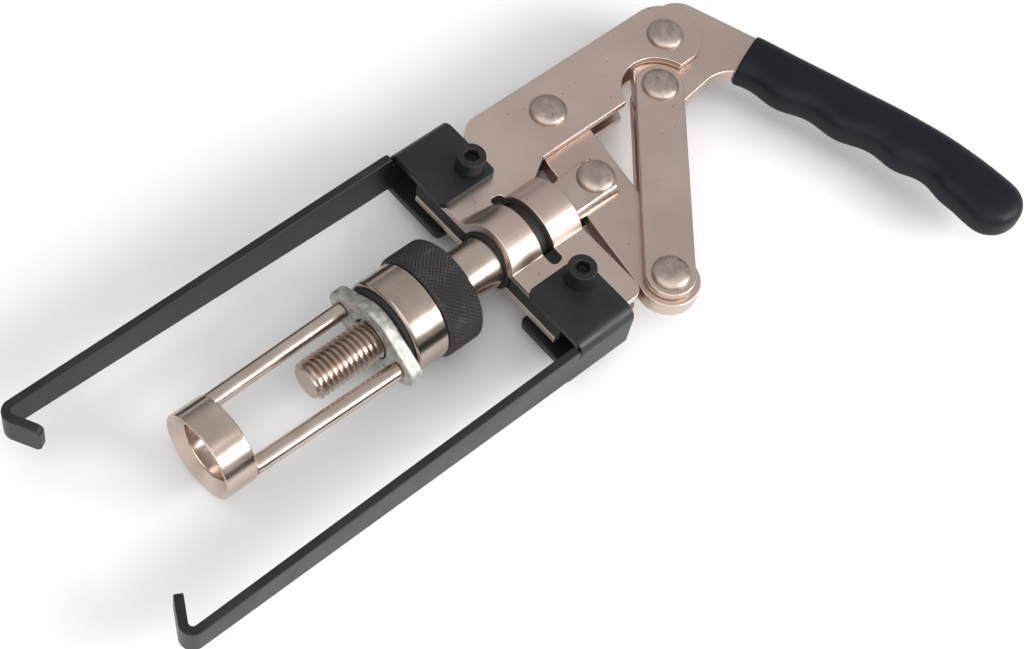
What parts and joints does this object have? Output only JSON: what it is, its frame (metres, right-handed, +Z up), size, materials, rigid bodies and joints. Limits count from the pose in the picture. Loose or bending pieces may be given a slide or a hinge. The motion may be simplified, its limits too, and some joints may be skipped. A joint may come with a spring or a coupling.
{
  "type": "valve spring compressor",
  "caption": "Hand-held valve spring compressor: a toggle handle drives a plunger whose caged ring presses a spring between hooked legs.",
  "frame": {"origin": "centre of the pressing ring's bore at the foot of its cone, on the plunger axis", "axes": "+X along the plunger towards the hooks, +Z up out of the flat side of the tool, +Y towards the handle grip"},
  "size_m": [0.2805, 0.128, 0.0324],
  "materials": {
    "nickel": "nickel-plated steel, satin with light wear",
    "bright_nickel": "turned and nickel plated, bright",
    "black_paint": "satin black paint",
    "black_oxide": "black oxide",
    "black_plastic": "matte black",
    "zinc": "dull zinc",
    "vinyl": "dipped vinyl, soft sheen"
  },
  "bodies": {
    "frame": {"front_plate": "nickel", "rear_plate": "nickel", "guide_bush": "black_plastic", "plate_spacers": "black_plastic", "leg_screws": "black_oxide", "leg_nuts": "black_oxide", "handle_pivot_rivet": "nickel", "lever_pivot_rivet": "nickel"},
    "upper_leg_body": {"upper_leg": "black_paint"},
    "lower_leg_body": {"lower_leg": "black_paint"},
    "handle": {"handle_plate": "nickel", "handle_grip": "vinyl"},
    "links": {"front_link": "nickel", "rear_link": "nickel", "link_top_rivet": "nickel", "link_bottom_rivet": "nickel"},
    "lever": {"lever_plate": "nickel"},
    "plunger": {"plunger_shaft": "bright_nickel", "plunger_pin": "nickel", "threaded_stud": "bright_nickel"},
    "carrier": {"thrust_washer": "black_plastic"},
    "nut": {"knurled_collar": "black_oxide", "nut_sleeve": "bright_nickel"},
    "cage": {"cage_flange": "zinc", "cage_rods": "bright_nickel", "pressing_ring": "bright_nickel"}
  },
  "joints": [
    {"name": "handle_swing", "type": "hinge", "parent": "frame", "child": "handle", "pos_m": [-0.1949, -0.026, 0], "axis": [0, 0, 1], "range_deg": [0, 70]},
    {"name": "link_swing", "type": "hinge", "parent": "handle", "child": "links", "pos_m": [-0.1801, -0.013, 0], "axis": [0, 0, 1], "range_deg": [-78.5, 0]},
    {"name": "lever_swing", "type": "hinge", "parent": "frame", "child": "lever", "pos_m": [-0.1459, -0.026, 0], "axis": [0, 0, 1], "range_deg": [0, 13.2]},
    {"name": "plunger_slide", "type": "slide", "parent": "frame", "child": "plunger", "axis": [1, 0, 0], "range_m": [-0.0061, 0]},
    {"name": "adjuster_travel", "type": "slide", "parent": "plunger", "child": "carrier", "axis": [1, 0, 0], "range_m": [-0.006, 0.016]},
    {"name": "adjuster_spin", "type": "hinge", "parent": "carrier", "child": "nut", "pos_m": [-0.0674, 0, 0], "axis": [1, 0, 0], "range_deg": [-1240, 3300]},
    {"name": "cage_swivel", "type": "hinge", "parent": "carrier", "child": "cage", "pos_m": [-0.0574, 0, 0], "axis": [1, 0, 0], "continuous": true},
    {"name": "upper_leg_swing", "type": "hinge", "parent": "frame", "child": "upper_leg_body", "pos_m": [-0.1121, -0.0234, 0], "axis": [0, 0, 1], "range_deg": [-4, 4]},
    {"name": "lower_leg_swing", "type": "hinge", "parent": "frame", "child": "lower_leg_body", "pos_m": [-0.1121, 0.0234, 0], "axis": [0, 0, 1], "range_deg": [-4, 4]}
  ],
  "couplings": [
    {"joint": "link_swing", "follows": "handle_swing", "ratio": -1.1183},
    {"joint": "lever_swing", "follows": "handle_swing", "ratio": 0.18652},
    {"joint": "plunger_slide", "follows": "handle_swing", "m_per_rad": -0.0049},
    {"joint": "adjuster_spin", "follows": "adjuster_travel", "rad_per_m": 3590.4}
  ]
}
